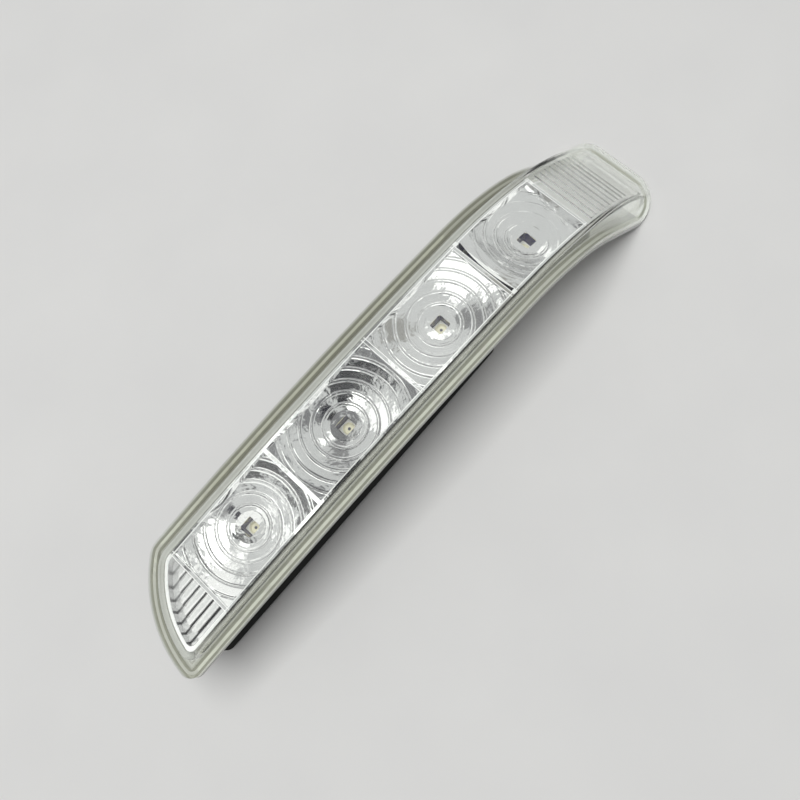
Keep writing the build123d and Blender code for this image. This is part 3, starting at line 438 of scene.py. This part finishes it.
# %% Metallised skin: rounding, ripple and fine peel
RIPPLE_MM, PEEL_MM = 3.5, 0.7
ripple = add(tree, "ShaderNodeTexNoise", {"Vector": mm, "Scale": 1 / RIPPLE_MM, "Detail": 2.0})
peel = add(tree, "ShaderNodeTexNoise", {"Vector": mm, "Scale": 1 / PEEL_MM, "Detail": 2.0})
rounded = add(tree, "ShaderNodeBump", {"Height": profile.outputs["Value"], "Strength": in_bowl,
                                       "Distance": 0.0013})
rounded = add(tree, "ShaderNodeBump", {"Height": ripple.outputs["Fac"], "Strength": 0.20,
                                       "Distance": 0.0008, "Normal": rounded.outputs["Normal"]})
rounded = add(tree, "ShaderNodeBump", {"Height": peel.outputs["Fac"], "Strength": 0.10,
                                       "Distance": 0.0001, "Normal": rounded.outputs["Normal"]})
print("ripple every", RIPPLE_MM, "mm, peel every", PEEL_MM, "mm")

# %% Metallised skin: tone, metal and gloss
dull = add(tree, "ShaderNodeMapRange", {"Value": ripple.outputs["Fac"], "From Min": 0.35, "From Max": 0.75,
                                        "To Min": 0.04, "To Max": 0.10})
# Painted highlight: on the edge lines the skin is rougher and only partly metallic, as at the satin places.
dull = add(tree, "ShaderNodeMix", {"Factor": highlight_and_satin, "A": dull.outputs["Result"], "B": 0.30})
skin_tone = add(tree, "ShaderNodeMix", {"Factor": highlight_and_satin, "A": linear("#F4F4F4"), "B": linear("#F8F8F8")},
                data_type="RGBA")
wall_tone = add(tree, "ShaderNodeMix", {"Factor": ripple.outputs["Fac"], "A": linear("#1E1D2C"),
                                        "B": linear("#6A6590")}, data_type="RGBA")
skin_tone = add(tree, "ShaderNodeMix", {"Factor": bare, "A": skin_tone.outputs["Result"],
                                        "B": wall_tone.outputs["Result"]}, data_type="RGBA")
# Painted shade in the valleys between the flutes.
skin_tone = add(tree, "ShaderNodeMix", {"Factor": valley_shade, "A": skin_tone.outputs["Result"],
                                        "B": linear("#26262A")}, data_type="RGBA")
metal_part = add(tree, "ShaderNodeMix", {"Factor": highlight_and_satin, "A": 1.0, "B": 0.35})
# Painted shade: the outer wall under the lower border is near black and without metal.
skin_tone = add(tree, "ShaderNodeMix", {"Factor": gap_shade, "A": skin_tone.outputs["Result"],
                                        "B": linear("#18181A")}, data_type="RGBA")
bare_walls_and_gap_shade = add(tree, "ShaderNodeMath", {0: bare, 1: gap_shade}, operation="MAXIMUM")
metal_part = add(tree, "ShaderNodeMix", {"Factor": bare_walls_and_gap_shade.outputs["Value"],
                                         "A": metal_part.outputs["Result"], "B": 0.0})
skin = add(tree, "ShaderNodeBsdfPrincipled", {
    "Base Color": skin_tone.outputs["Result"], "Metallic": metal_part.outputs["Result"],
    "Roughness": dull.outputs["Result"], "Normal": rounded.outputs["Normal"]})
output(tree, skin.outputs["BSDF"])
dress(mirror, "reflector")

# %% [markdown]
# ## The carrier frame: pale grey ABS, moulded
# The lens is welded to this frame. Through the clear rim it shows as olive-grey bands that follow the
# outline. These bands are painted shade, for the shade and the light bent away under the rim. Behind the
# tip the frame is plain and pale. The grain of its mould is finer than a pixel, which is about 0.35 mm
# wide here, so it is drawn as wide as that.

# %% Pale ABS with bands of painted shade along the outline
PLAIN_FROM, PLAIN_FULL, MOULD_GRAIN = 82.0, 104.0, 0.35
pale, tree, mm = start("pale_abs_moulded")
inward = from_outline(tree, mm)
mottle = add(tree, "ShaderNodeTexNoise", {"Vector": mm, "Scale": 1 / 9.0, "Detail": 3.0})
wander = add(tree, "ShaderNodeMapRange", {"Value": mottle.outputs["Fac"], "From Min": 0.3, "From Max": 0.7,
                                          "To Min": -0.04, "To Max": 0.04})
inward = add(tree, "ShaderNodeMath", {0: inward, 1: wander.outputs["Result"]}, operation="ADD")
inward = add(tree, "ShaderNodeMath", {0: inward.outputs["Value"], 1: RAMP_MM}, operation="DIVIDE")
# The bands are painted shade under the rim.
shade_bands = add(tree, "ShaderNodeValToRGB", {"Fac": inward.outputs["Value"]})
ramp_of(shade_bands, (0.00, "#B2B3AE"), (1.00, "#C9CAC8"), (0.05, "#8F8F87"), (0.10, "#86867B"), (0.14, "#A3A39A"),
        (0.24, "#94948A"), (0.30, "#7F7F75"), (0.34, "#A9AAA2"), (0.42, "#B6B7B2"), (0.46, "#9A9A93"),
        (0.50, "#B4B5B1"), (0.80, "#BBBCB9"))
place = add(tree, "ShaderNodeSeparateXYZ", {"Vector": mm})
plain = add(tree, "ShaderNodeMapRange", {"Value": place.outputs["X"], "From Min": PLAIN_FROM,
                                         "From Max": PLAIN_FULL})
tone = add(tree, "ShaderNodeMix", {"Factor": plain.outputs["Result"], "A": shade_bands.outputs["Color"],
                                   "B": linear("#CDCDCC")}, data_type="RGBA")
grain = add(tree, "ShaderNodeTexNoise", {"Vector": mm, "Scale": 1 / MOULD_GRAIN, "Detail": 3.0})
texture = add(tree, "ShaderNodeBump", {"Height": grain.outputs["Fac"], "Strength": 0.25, "Distance": 0.0001})
shell = add(tree, "ShaderNodeBsdfPrincipled", {
    "Base Color": tone.outputs["Result"], "Roughness": 0.42, "IOR": 1.54, "Subsurface Weight": 0.15,
    "Subsurface Radius": (0.002, 0.002, 0.002), "Normal": texture.outputs["Normal"]})
output(tree, shell.outputs["BSDF"])
dress(pale, "carrier_frame")

# %% [markdown]
# ## Sealant, rubber and black plastic
# The bead is clear silicone, which shines softly. Seal and vent cap are EPDM rubber, dull and faintly
# dusty. The housing is glass-filled black nylon from an eroded mould. Its grain is about 0.3 mm, and is
# drawn as 0.45 mm so that it shows from this far, and the rubber's is drawn as 0.4 mm.

# %% Silicone bead
silicone, tree, mm = start("clear_silicone_bead")
lumps = add(tree, "ShaderNodeTexNoise", {"Vector": mm, "Scale": 1 / 2.5, "Detail": 2.0})
soft = add(tree, "ShaderNodeBump", {"Height": lumps.outputs["Fac"], "Strength": 0.4, "Distance": 0.0004})
gel = add(tree, "ShaderNodeBsdfPrincipled", {
    "Base Color": linear("#C9CAC2"), "Roughness": 0.25, "IOR": 1.41, "Subsurface Weight": 0.4,
    "Subsurface Radius": (0.001, 0.001, 0.001), "Normal": soft.outputs["Normal"]})
output(tree, gel.outputs["BSDF"])
dress(silicone, "lens_bead")

# %% Black nylon housing with an eroded grain
EROSION_MM = 0.45
nylon, tree, mm = start("black_nylon_eroded_grain")
erosion = add(tree, "ShaderNodeTexVoronoi", {"Vector": mm, "Scale": 1 / EROSION_MM})
patches = add(tree, "ShaderNodeTexNoise", {"Vector": mm, "Scale": 1 / 14.0, "Detail": 4.0})
pits = add(tree, "ShaderNodeBump", {"Height": erosion.outputs["Distance"], "Strength": 0.5,
                                    "Distance": 0.00008})
shade = add(tree, "ShaderNodeMix", {"Factor": patches.outputs["Fac"], "A": linear("#0C0C0B"),
                                    "B": linear("#121211")}, data_type="RGBA")
gloss = add(tree, "ShaderNodeMapRange", {"Value": patches.outputs["Fac"], "From Min": 0.3, "From Max": 0.7,
                                         "To Min": 0.62, "To Max": 0.74})
case = add(tree, "ShaderNodeBsdfPrincipled", {
    "Base Color": shade.outputs["Result"], "Roughness": gloss.outputs["Result"], "IOR": 1.53,
    "Specular IOR Level": 0.03, "Normal": pits.outputs["Normal"]})
output(tree, case.outputs["BSDF"])
dress(nylon, "rear_housing", "terminal_holder", "diode")

# %% Rubber seal and vent cap
rubber, tree, mm = start("epdm_rubber_moulded")
dust = add(tree, "ShaderNodeTexNoise", {"Vector": mm, "Scale": 1 / 3.0, "Detail": 5.0})
skin_grain = add(tree, "ShaderNodeTexNoise", {"Vector": mm, "Scale": 1 / 0.4, "Detail": 2.0})
dusty = add(tree, "ShaderNodeMix", {"Factor": dust.outputs["Fac"], "A": linear("#171716"),
                                    "B": linear("#242422")}, data_type="RGBA")
matt = add(tree, "ShaderNodeBump", {"Height": skin_grain.outputs["Fac"], "Strength": 0.3,
                                    "Distance": 0.0001})
epdm = add(tree, "ShaderNodeBsdfPrincipled", {
    "Base Color": dusty.outputs["Result"], "Roughness": 0.82, "IOR": 1.52, "Sheen Weight": 0.02,
    "Specular IOR Level": 0.03, "Normal": matt.outputs["Normal"]})
output(tree, epdm.outputs["BSDF"])
dress(rubber, "housing_seal", "vent_cap")

# %% [markdown]
# ## The circuit board and what stands on it
# The board is glass-fibre laminate under a dark blue-violet solder mask, with copper tracks that show
# as slightly raised, paler bands. The light sources are white plastic, like porcelain, with a cream well.
# The weave of the board and the grain of the small parts are finer than a pixel, so they are drawn 0.4
# to 0.6 mm wide.

# %% Circuit board
TRACK_PITCH = 2.6
board_mask, tree, mm = start("violet_solder_mask_on_fr4")
place = add(tree, "ShaderNodeSeparateXYZ", {"Vector": mm})
lane = add(tree, "ShaderNodeMath", {0: place.outputs["Y"], 1: TRACK_PITCH}, operation="DIVIDE")
lane = add(tree, "ShaderNodeMath", {0: lane.outputs["Value"]}, operation="FRACT")
track = add(tree, "ShaderNodeMapRange", {"Value": lane.outputs["Value"], "From Min": 0.42, "From Max": 0.50,
                                         "To Min": 0.0, "To Max": 1.0})
weave = add(tree, "ShaderNodeTexNoise", {"Vector": mm, "Scale": 1 / 0.6, "Detail": 2.0})
board_tone = add(tree, "ShaderNodeMix", {"Factor": track.outputs["Result"], "A": linear("#2A2550"),
                                         "B": linear("#3A3470")}, data_type="RGBA")
raised = add(tree, "ShaderNodeBump", {"Height": track.outputs["Result"], "Strength": 0.6,
                                      "Distance": 0.00004})
raised = add(tree, "ShaderNodeBump", {"Height": weave.outputs["Fac"], "Strength": 0.2, "Distance": 0.00004,
                                      "Normal": raised.outputs["Normal"]})
laminate = add(tree, "ShaderNodeBsdfPrincipled", {
    "Base Color": board_tone.outputs["Result"], "Roughness": 0.35, "IOR": 1.55,
    "Normal": raised.outputs["Normal"]})
output(tree, laminate.outputs["BSDF"])
dress(board_mask, "circuit_board")

# %% Light sources: white body, cream silicone in the well, one dark chip
SOURCE_LEANS = (-6.13, -2.60, 0.96, 14.79)
WELL_EDGE, CHIP_EDGE = (2.05, 2.15), (0.45, 0.60)
for k, degrees in enumerate(SOURCE_LEANS):
    package, tree, mm = start(f"white_ppa_light_source_{k + 1}")
    corner_a, corner_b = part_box(f"led_{k + 1}")
    middle = [1000 * v for v in (corner_a + corner_b) / 2]
    arm = add(tree, "ShaderNodeVectorMath", {0: mm, 1: middle}, operation="SUBTRACT").outputs["Vector"]
    lean = math.radians(degrees)
    out = add(tree, "ShaderNodeVectorMath", {0: arm, 1: (math.sin(lean), 0.0, math.cos(lean))},
              operation="CROSS_PRODUCT").outputs["Vector"]
    reach = add(tree, "ShaderNodeVectorMath", {0: out}, operation="LENGTH").outputs["Value"]
    well = add(tree, "ShaderNodeMapRange", {"Value": reach, "From Min": WELL_EDGE[0],
                                            "From Max": WELL_EDGE[1], "To Min": 1.0, "To Max": 0.0})
    chip = add(tree, "ShaderNodeMapRange", {"Value": reach, "From Min": CHIP_EDGE[0],
                                            "From Max": CHIP_EDGE[1], "To Min": 1.0, "To Max": 0.0})
    speck = add(tree, "ShaderNodeTexNoise", {"Vector": mm, "Scale": 1 / 0.5, "Detail": 2.0})
    body_tone = add(tree, "ShaderNodeMix", {"Factor": well.outputs["Result"], "A": linear("#F1F0EA"),
                                            "B": linear("#EDE9D2")}, data_type="RGBA")
    body_tone = add(tree, "ShaderNodeMix", {"Factor": chip.outputs["Result"],
                                            "A": body_tone.outputs["Result"],
                                            "B": linear("#5E5F6A")}, data_type="RGBA")
    fine = add(tree, "ShaderNodeBump", {"Height": speck.outputs["Fac"], "Strength": 0.1,
                                        "Distance": 0.00005})
    package_shader = add(tree, "ShaderNodeBsdfPrincipled", {
        "Base Color": body_tone.outputs["Result"], "Roughness": 0.3, "IOR": 1.5,
        "Normal": fine.outputs["Normal"]})
    output(tree, package_shader.outputs["BSDF"])
    dress(package, f"led_{k + 1}")

# %% Resistors: black glaze on ceramic, with tinned ends
TINNED_FROM = 2.52
for k in range(4):
    glaze, tree, mm = start(f"glazed_ceramic_resistor_{k + 1}")
    corner_a, corner_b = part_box(f"resistor_{k + 1}")
    middle = 1000 * (corner_a.x + corner_b.x) / 2
    along = add(tree, "ShaderNodeSeparateXYZ", {"Vector": mm}).outputs["X"]
    off = add(tree, "ShaderNodeMath", {0: along, 1: middle}, operation="SUBTRACT")
    off = add(tree, "ShaderNodeMath", {0: off.outputs["Value"]}, operation="ABSOLUTE")
    cap = add(tree, "ShaderNodeMath", {0: off.outputs["Value"], 1: TINNED_FROM},
              operation="GREATER_THAN")
    grain = add(tree, "ShaderNodeTexNoise", {"Vector": mm, "Scale": 1 / 0.4, "Detail": 2.0})
    tone = add(tree, "ShaderNodeMix", {"Factor": cap.outputs["Value"], "A": linear("#1B1B1D"),
                                       "B": linear("#D4D4D0")}, data_type="RGBA")
    bumpy = add(tree, "ShaderNodeBump", {"Height": grain.outputs["Fac"], "Strength": 0.2,
                                         "Distance": 0.00005})
    chip_shader = add(tree, "ShaderNodeBsdfPrincipled", {
        "Base Color": tone.outputs["Result"], "Metallic": cap.outputs["Value"], "Roughness": 0.32,
        "Normal": bumpy.outputs["Normal"]})
    output(tree, chip_shader.outputs["BSDF"])
    dress(glaze, f"resistor_{k + 1}")

# %% [markdown]
# ## Metals: aluminium can, zinc-plated screws, tinned terminals
# The can is drawn from aluminium, and the other two are bright coatings, zinc over steel and tin over
# brass. What tells them apart is tone and roughness: the can is satin, zinc is crystalline and a little
# yellow, and tin is smoother.

# %% Drawn aluminium, zinc plate and tin plate
for name, colour, roughness, grain_mm, nodes in (
    ("drawn_aluminium_can", "#C8C9CB", 0.34, 0.5, ["capacitor"]),
    ("zinc_plated_steel", "#BDBBB2", 0.38, 0.7, ["board_screws", "housing_screws"]),
    ("tin_plated_brass", "#D6D3CB", 0.28, 0.4, ["terminal_1", "terminal_2", "terminal_3"]),
):
    metal, tree, mm = start(name)
    drag = add(tree, "ShaderNodeTexNoise", {"Vector": mm, "Scale": 1 / grain_mm, "Detail": 4.0})
    vary = add(tree, "ShaderNodeMapRange", {"Value": drag.outputs["Fac"], "From Min": 0.3, "From Max": 0.7,
                                            "To Min": roughness - 0.08, "To Max": roughness + 0.10})
    uneven = add(tree, "ShaderNodeBump", {"Height": drag.outputs["Fac"], "Strength": 0.15,
                                          "Distance": 0.00006})
    plated = add(tree, "ShaderNodeBsdfPrincipled", {
        "Base Color": linear(colour), "Metallic": 1.0, "Roughness": vary.outputs["Result"],
        "Normal": uneven.outputs["Normal"]})
    output(tree, plated.outputs["BSDF"])
    dress(metal, *nodes)

# %% [markdown]
# ## The studio
# A table of pale laminate, one big soft light straight overhead, and a sheet above the lamp that only
# the mirror sees, through the clear lens. A mirror shows its surroundings, so the bright and dark
# patches of that sheet do the drawing in the bowls.


# %% Table
def level_sheet(name, middle, size):
    """A level rectangle for the studio."""
    half_x, half_y = size[0] / 2, size[1] / 2
    mesh = bpy.data.meshes.new(name)
    mesh.from_pydata([(-half_x, -half_y, 0), (half_x, -half_y, 0), (half_x, half_y, 0), (-half_x, half_y, 0)],
                     [], [(0, 1, 2, 3)])
    piece = bpy.data.objects.new(name, mesh)
    piece.location = middle
    bpy.context.scene.collection.objects.link(piece)
    return piece


TABLE_WIDTH = 8.0
table = level_sheet("table", (0, 0, 0), (TABLE_WIDTH, TABLE_WIDTH))
laminate_top, tree, mm = start("pale_laminate_table_top")
mottled = add(tree, "ShaderNodeTexNoise", {"Vector": mm, "Scale": 1 / 55.0, "Detail": 5.0})
press = add(tree, "ShaderNodeTexNoise", {"Vector": mm, "Scale": 1 / 1.2, "Detail": 2.0})
table_tone = add(tree, "ShaderNodeMix", {"Factor": mottled.outputs["Fac"], "A": linear("#D2D2D1"),
                                         "B": linear("#DBDBD9")}, data_type="RGBA")
pressed = add(tree, "ShaderNodeBump", {"Height": press.outputs["Fac"], "Strength": 0.1,
                                       "Distance": 0.0001})
melamine = add(tree, "ShaderNodeBsdfPrincipled", {
    "Base Color": table_tone.outputs["Result"], "Roughness": 0.5, "IOR": 1.5,
    "Normal": pressed.outputs["Normal"]})
output(tree, melamine.outputs["BSDF"])
table.data.materials.append(laminate_top)
print("table laid, metres wide:", TABLE_WIDTH)

# %% Soft light overhead
soft_data = bpy.data.lights.new("overhead_soft_light", "AREA")
soft_data.shape = "RECTANGLE"
soft_data.size, soft_data.size_y = 0.95, 0.85
soft_data.energy = 17.8
soft_light = bpy.data.objects.new("overhead_soft_light", soft_data)
soft_light.location = (-0.05, 0.08, 1.5)
soft_light.visible_glossy = soft_light.visible_transmission = False
bpy.context.scene.collection.objects.link(soft_light)
print("soft light power in watts:", soft_data.energy)

# %% [markdown]
# The mirror sheet hangs 11 cm above the table. The camera, the soft light, shadows and reflections on
# the outside of the lens take no notice of it. It is pale, with soft patches: bright ones for lamps, and
# dark and grey ones for the things in a room. Towards three of its edges it is white, which draws the
# thin ring lines.

# %% Patches on the mirror sheet: place and half size in mm, turn in degrees, colour, strength
SHEET_HEIGHT = 0.110
patches = (
    ((-113, 18), (11, 17), 0, "#4A4A4C", 1.0),
    ((-125, 38), (10, 13), 0, "#626264", 1.0),
    ((-95, -5), (12, 9), 0, "#9C9C9E", 1.0),
    ((58, 5), (15, 10), 0, "#A3A29F", 1.0),
    ((13, 45), (25, 16), 0, "#8C8C8E", 1.0),
    ((-126, 70), (14, 11), 0, "#FFFFFF", 1.4),
    ((-83, 27), (21, 9), 0, "#FFFFFF", 1.1),
    ((-72, 6), (10, 20), 0, "#FFFFFF", 2.4),
    ((-56, 46), (18, 14), 0, "#FFFFFF", 1.4),
    ((17, 12), (16, 10), 0, "#FFFFFF", 1.7),
    ((-48, 4), (11, 19), -20, "#1C1C22", 1.0),
    ((-32, 21), (9, 8), 0, "#808083", 1.0),
    ((-98, -22), (10, 10), 0, "#33333C", 1.0),
    ((-18, -8), (6, 14), 0, "#77777A", 1.0),
    ((-28, -30), (12, 22), 0, "#24242E", 1.0),
    ((-19, -43), (4, 7), 0, "#FFFFFF", 3.0),
)
print("patches on the mirror sheet:", len(patches))

# %% The mirror sheet
WHITE_LEFT, WHITE_UP, WHITE_DOWN, WHITE_LEVEL = (-150.0, -165.0), (92.0, 110.0), (-62.0, -75.0), 1.3
mirror_sheet = level_sheet("mirror_sheet", (0, 0, SHEET_HEIGHT), (0.9, 0.7))
mirror_sheet.visible_camera = mirror_sheet.visible_diffuse = mirror_sheet.visible_shadow = False
mirror_sheet.visible_glossy = False
printed, tree, mm = start("mirror_sheet")
spot = add(tree, "ShaderNodeSeparateXYZ", {"Vector": mm})
far_left = add(tree, "ShaderNodeMapRange", {"Value": spot.outputs["X"], "From Min": WHITE_LEFT[0],
                                            "From Max": WHITE_LEFT[1]})
far_up = add(tree, "ShaderNodeMapRange", {"Value": spot.outputs["Y"], "From Min": WHITE_UP[0],
                                          "From Max": WHITE_UP[1]})
far_down = add(tree, "ShaderNodeMapRange", {"Value": spot.outputs["Y"], "From Min": WHITE_DOWN[0],
                                            "From Max": WHITE_DOWN[1]})
far = add(tree, "ShaderNodeMath", {0: far_left.outputs["Result"], 1: far_up.outputs["Result"]},
          operation="MAXIMUM")
far = add(tree, "ShaderNodeMath", {0: far.outputs["Value"], 1: far_down.outputs["Result"]},
          operation="MAXIMUM")
light = add(tree, "ShaderNodeMix", {"Factor": far.outputs["Value"], "A": linear("#D4D5D6"),
                                    "B": [WHITE_LEVEL] * 3 + [1.0]}, data_type="RGBA").outputs["Result"]
for (x, y), (half_x, half_y), turn, colour, strength in patches:
    local = add(tree, "ShaderNodeMapping", {
        "Vector": mm, "Location": (x, y, 0), "Rotation": (0, 0, math.radians(turn)),
        "Scale": (half_x, half_y, 1)}, vector_type="TEXTURE")
    reach = add(tree, "ShaderNodeVectorMath", {0: local.outputs["Vector"]}, operation="LENGTH")
    inside = add(tree, "ShaderNodeMapRange", {"Value": reach.outputs["Value"], "From Min": 1.25,
                                              "From Max": 0.75}, interpolation_type="SMOOTHSTEP")
    glow = [strength * part for part in linear(colour)[:3]] + [1.0]
    light = add(tree, "ShaderNodeMix", {"Factor": inside.outputs["Result"], "A": light, "B": glow},
                data_type="RGBA").outputs["Result"]
shine = add(tree, "ShaderNodeEmission", {"Color": light, "Strength": 1.0})
output(tree, shine.outputs["Emission"])
mirror_sheet.data.materials.append(printed)
print("sheet height in mm:", round(SHEET_HEIGHT * 1000))

# %% [markdown]
# The world lights the lamp a little from all round. To the camera, and in what shines or is clear, it
# shows as a pale grey backdrop, so that glass and metal meet the same room as the eye does.

# %% World
world = bpy.data.worlds.new("pale_room")
bpy.context.scene.world = world
world.use_nodes = True
tree = world.node_tree
tree.nodes.clear()
ray = add(tree, "ShaderNodeLightPath")
seen = add(tree, "ShaderNodeMath", {0: ray.outputs["Is Camera Ray"], 1: ray.outputs["Is Glossy Ray"]},
           operation="MAXIMUM")
seen = add(tree, "ShaderNodeMath", {0: seen.outputs["Value"], 1: ray.outputs["Is Transmission Ray"]},
           operation="MAXIMUM")
room = add(tree, "ShaderNodeBackground", {"Color": linear("#FFFFFF"), "Strength": 0.30})
backdrop = add(tree, "ShaderNodeBackground", {"Color": linear("#C6C7C8"), "Strength": 1.0})
both = add(tree, "ShaderNodeMixShader", {"Fac": seen.outputs["Value"], 1: room.outputs["Background"],
                                         2: backdrop.outputs["Background"]})
add(tree, "ShaderNodeOutputWorld", {"Surface": both.outputs["Shader"]})
bpy.context.scene.view_settings.view_transform = "Standard"
print("world set")
